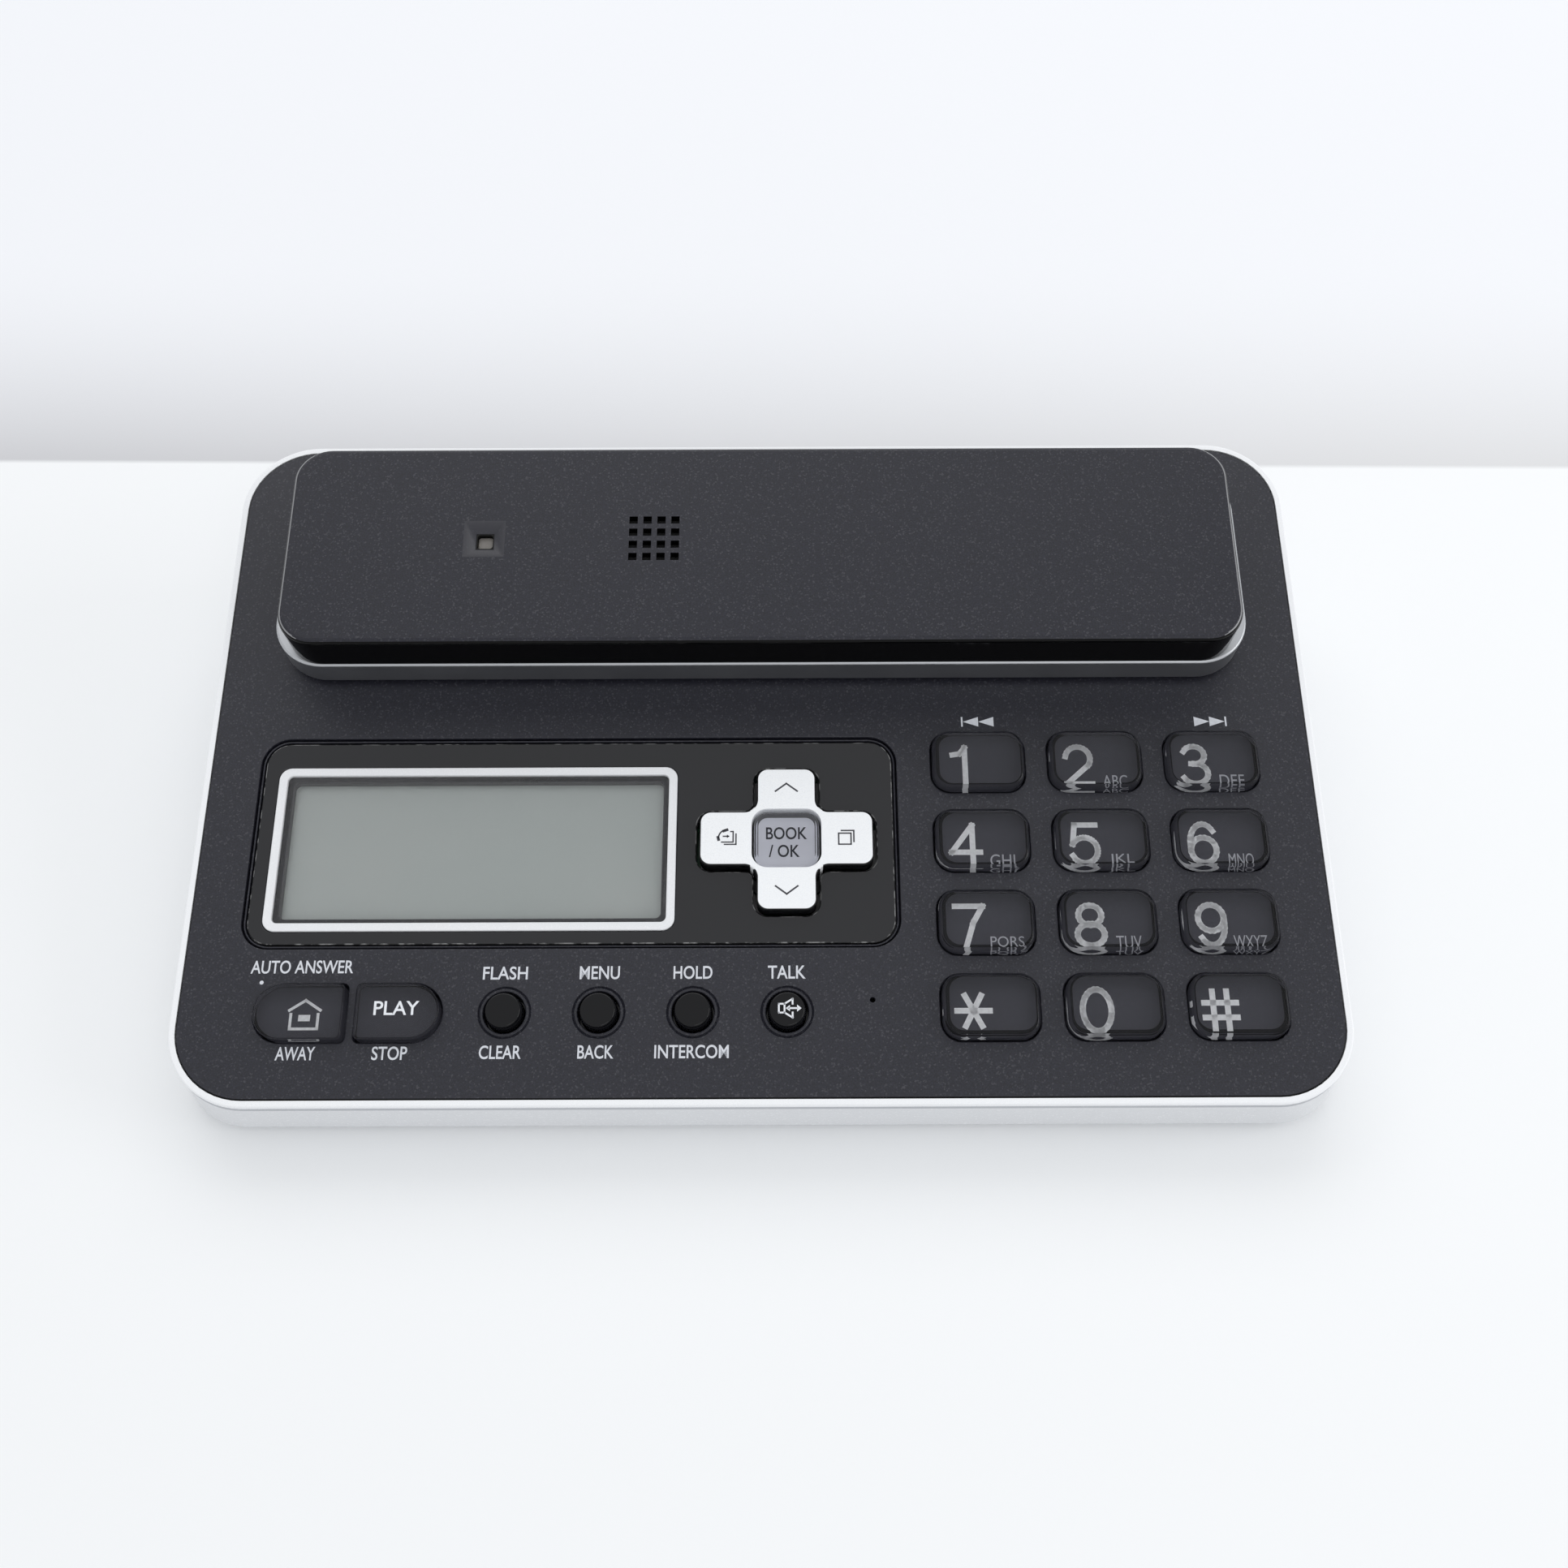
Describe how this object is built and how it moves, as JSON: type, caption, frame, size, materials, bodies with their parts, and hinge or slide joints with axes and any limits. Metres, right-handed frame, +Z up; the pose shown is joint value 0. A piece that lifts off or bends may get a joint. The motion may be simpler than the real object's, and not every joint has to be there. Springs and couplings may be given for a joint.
{
  "type": "cordless phone",
  "caption": "Cordless desk phone: a wedge base with a dial pad, display, four-way key and function keys, and a slim handset resting face down in a cradle.",
  "frame": {"origin": "middle of the footprint on the table", "axes": "+X to the right of a user in front of it, +Y to the rear, +Z up"},
  "size_m": [0.1986, 0.1264, 0.0483],
  "materials": {
    "case_silver": "satin silver-grey",
    "rim_silver": "satin silver paint",
    "panel_charcoal": "fine matt texture",
    "plate_black": "polished",
    "bezel_silver": "satin silver-white",
    "window_clear": "clear",
    "lcd": "grey-green reflective display",
    "nav_white": "satin white",
    "select_grey": "translucent grey",
    "dial_cap": "clear cap over black",
    "pill_black": "clear cap over black",
    "round_black": "gloss",
    "silicone": "matt",
    "board_green": "solder mask",
    "screw_steel": "zinc plated",
    "capsule_metal": "plain",
    "rubber_black": "matt",
    "jack_black": "moulded",
    "contact_gold": "gold flash",
    "handset_charcoal": "fine matt texture, gloss sides",
    "band_silver": "satin silver paint",
    "handset_face": "fine matt texture",
    "lamp_lens": "frosted clear",
    "handset_keys": "satin",
    "battery_wrap": "shrink film"
  },
  "bodies": {
    "base": {"bottom_case": "case_silver", "trim_frame": "rim_silver", "top_panel": "panel_charcoal", "window_plate": "plate_black", "display_bezel": "bezel_silver", "display_window": "window_clear", "display_module": "lcd", "key_mat": "silicone", "main_board": "board_green", "board_screws": "screw_steel", "jack_board": "board_green", "loudspeaker": "capsule_metal", "base_microphone": "rubber_black", "line_jack": "jack_black", "power_jack": "jack_black", "charge_contacts": "contact_gold", "rubber_feet": "rubber_black", "case_screws": "screw_steel"},
    "nav_ring": {"nav_pivot_ring": "jack_black"},
    "nav": {"nav_key": "nav_white"},
    "select": {"select_key": "select_grey"},
    "dial_key_1": {"dial_key_1": "dial_cap"},
    "dial_key_2": {"dial_key_2": "dial_cap"},
    "dial_key_3": {"dial_key_3": "dial_cap"},
    "dial_key_4": {"dial_key_4": "dial_cap"},
    "dial_key_5": {"dial_key_5": "dial_cap"},
    "dial_key_6": {"dial_key_6": "dial_cap"},
    "dial_key_7": {"dial_key_7": "dial_cap"},
    "dial_key_8": {"dial_key_8": "dial_cap"},
    "dial_key_9": {"dial_key_9": "dial_cap"},
    "dial_key_star": {"dial_key_star": "dial_cap"},
    "dial_key_0": {"dial_key_0": "dial_cap"},
    "dial_key_hash": {"dial_key_hash": "dial_cap"},
    "answer_key": {"answer_key": "pill_black"},
    "play_key": {"play_key": "pill_black"},
    "clear_key": {"clear_key": "round_black"},
    "menu_key": {"menu_key": "round_black"},
    "hold_key": {"hold_key": "round_black"},
    "speaker_key": {"speaker_key": "round_black"},
    "handset": {"handset_back": "handset_charcoal", "handset_band": "band_silver", "handset_front": "handset_face", "handset_lamp": "lamp_lens", "handset_board": "board_green", "handset_key_mat": "silicone", "handset_battery": "battery_wrap", "handset_battery_cover": "handset_face", "handset_receiver": "capsule_metal", "handset_ringer": "capsule_metal", "handset_microphone": "rubber_black", "handset_contacts": "contact_gold", "handset_screws": "screw_steel"},
    "handset_talk_key": {"handset_talk_key": "handset_keys"},
    "handset_off_key": {"handset_off_key": "handset_keys"},
    "handset_volume_key": {"handset_volume_key": "handset_keys"},
    "handset_hold_key": {"handset_hold_key": "handset_keys"}
  },
  "joints": [
    {"name": "dial_key_1_press", "type": "slide", "parent": "base", "child": "dial_key_1", "axis": [0, 0.1736, -0.9848], "range_m": [0, 0.0008], "stiffness_N_per_m": 800, "springref_m": -0.0005},
    {"name": "dial_key_2_press", "type": "slide", "parent": "base", "child": "dial_key_2", "axis": [0, 0.1736, -0.9848], "range_m": [0, 0.0008], "stiffness_N_per_m": 800, "springref_m": -0.0005},
    {"name": "dial_key_3_press", "type": "slide", "parent": "base", "child": "dial_key_3", "axis": [0, 0.1736, -0.9848], "range_m": [0, 0.0008], "stiffness_N_per_m": 800, "springref_m": -0.0005},
    {"name": "dial_key_4_press", "type": "slide", "parent": "base", "child": "dial_key_4", "axis": [0, 0.1736, -0.9848], "range_m": [0, 0.0008], "stiffness_N_per_m": 800, "springref_m": -0.0005},
    {"name": "dial_key_5_press", "type": "slide", "parent": "base", "child": "dial_key_5", "axis": [0, 0.1736, -0.9848], "range_m": [0, 0.0008], "stiffness_N_per_m": 800, "springref_m": -0.0005},
    {"name": "dial_key_6_press", "type": "slide", "parent": "base", "child": "dial_key_6", "axis": [0, 0.1736, -0.9848], "range_m": [0, 0.0008], "stiffness_N_per_m": 800, "springref_m": -0.0005},
    {"name": "dial_key_7_press", "type": "slide", "parent": "base", "child": "dial_key_7", "axis": [0, 0.1736, -0.9848], "range_m": [0, 0.0008], "stiffness_N_per_m": 800, "springref_m": -0.0005},
    {"name": "dial_key_8_press", "type": "slide", "parent": "base", "child": "dial_key_8", "axis": [0, 0.1736, -0.9848], "range_m": [0, 0.0008], "stiffness_N_per_m": 800, "springref_m": -0.0005},
    {"name": "dial_key_9_press", "type": "slide", "parent": "base", "child": "dial_key_9", "axis": [0, 0.1736, -0.9848], "range_m": [0, 0.0008], "stiffness_N_per_m": 800, "springref_m": -0.0005},
    {"name": "dial_key_star_press", "type": "slide", "parent": "base", "child": "dial_key_star", "axis": [0, 0.1736, -0.9848], "range_m": [0, 0.0008], "stiffness_N_per_m": 800, "springref_m": -0.0005},
    {"name": "dial_key_0_press", "type": "slide", "parent": "base", "child": "dial_key_0", "axis": [0, 0.1736, -0.9848], "range_m": [0, 0.0008], "stiffness_N_per_m": 800, "springref_m": -0.0005},
    {"name": "dial_key_hash_press", "type": "slide", "parent": "base", "child": "dial_key_hash", "axis": [0, 0.1736, -0.9848], "range_m": [0, 0.0008], "stiffness_N_per_m": 800, "springref_m": -0.0005},
    {"name": "answer_key_press", "type": "slide", "parent": "base", "child": "answer_key", "axis": [0, 0.1736, -0.9848], "range_m": [0, 0.0008], "stiffness_N_per_m": 800, "springref_m": -0.0005},
    {"name": "play_key_press", "type": "slide", "parent": "base", "child": "play_key", "axis": [0, 0.1736, -0.9848], "range_m": [0, 0.0008], "stiffness_N_per_m": 800, "springref_m": -0.0005},
    {"name": "clear_key_press", "type": "slide", "parent": "base", "child": "clear_key", "axis": [0, 0.1736, -0.9848], "range_m": [0, 0.0008], "stiffness_N_per_m": 800, "springref_m": -0.0005},
    {"name": "menu_key_press", "type": "slide", "parent": "base", "child": "menu_key", "axis": [0, 0.1736, -0.9848], "range_m": [0, 0.0008], "stiffness_N_per_m": 800, "springref_m": -0.0005},
    {"name": "hold_key_press", "type": "slide", "parent": "base", "child": "hold_key", "axis": [0, 0.1736, -0.9848], "range_m": [0, 0.0008], "stiffness_N_per_m": 800, "springref_m": -0.0005},
    {"name": "speaker_key_press", "type": "slide", "parent": "base", "child": "speaker_key", "axis": [0, 0.1736, -0.9848], "range_m": [0, 0.0008], "stiffness_N_per_m": 800, "springref_m": -0.0005},
    {"name": "select_press", "type": "slide", "parent": "base", "child": "select", "axis": [0, 0.1736, -0.9848], "range_m": [0, 0.0006], "stiffness_N_per_m": 800, "springref_m": -0.0005},
    {"name": "nav_rock_front_rear", "type": "hinge", "parent": "base", "child": "nav_ring", "pos_m": [0.00445, -0.01669, 0.01653], "axis": [1, 0, 0], "range_deg": [-2.5, 2.5], "stiffness_Nm_per_rad": 0.6},
    {"name": "nav_rock_sideways", "type": "hinge", "parent": "nav_ring", "child": "nav", "pos_m": [0.00445, -0.01669, 0.01653], "axis": [0, 0.9848, 0.1736], "range_deg": [-2.5, 2.5], "stiffness_Nm_per_rad": 0.6},
    {"name": "handset_lift", "type": "slide", "parent": "base", "child": "handset", "axis": [0, -0.1736, 0.9848], "range_m": [0, 0.08]},
    {"name": "handset_talk_key_press", "type": "slide", "parent": "handset", "child": "handset_talk_key", "axis": [0, -0.1736, 0.9848], "range_m": [0, 0.0007], "stiffness_N_per_m": 800, "springref_m": -0.0005},
    {"name": "handset_off_key_press", "type": "slide", "parent": "handset", "child": "handset_off_key", "axis": [0, -0.1736, 0.9848], "range_m": [0, 0.0007], "stiffness_N_per_m": 800, "springref_m": -0.0005},
    {"name": "handset_volume_key_press", "type": "slide", "parent": "handset", "child": "handset_volume_key", "axis": [0, -0.1736, 0.9848], "range_m": [0, 0.0007], "stiffness_N_per_m": 800, "springref_m": -0.0005},
    {"name": "handset_hold_key_press", "type": "slide", "parent": "handset", "child": "handset_hold_key", "axis": [0, -0.1736, 0.9848], "range_m": [0, 0.0007], "stiffness_N_per_m": 800, "springref_m": -0.0005}
  ]
}
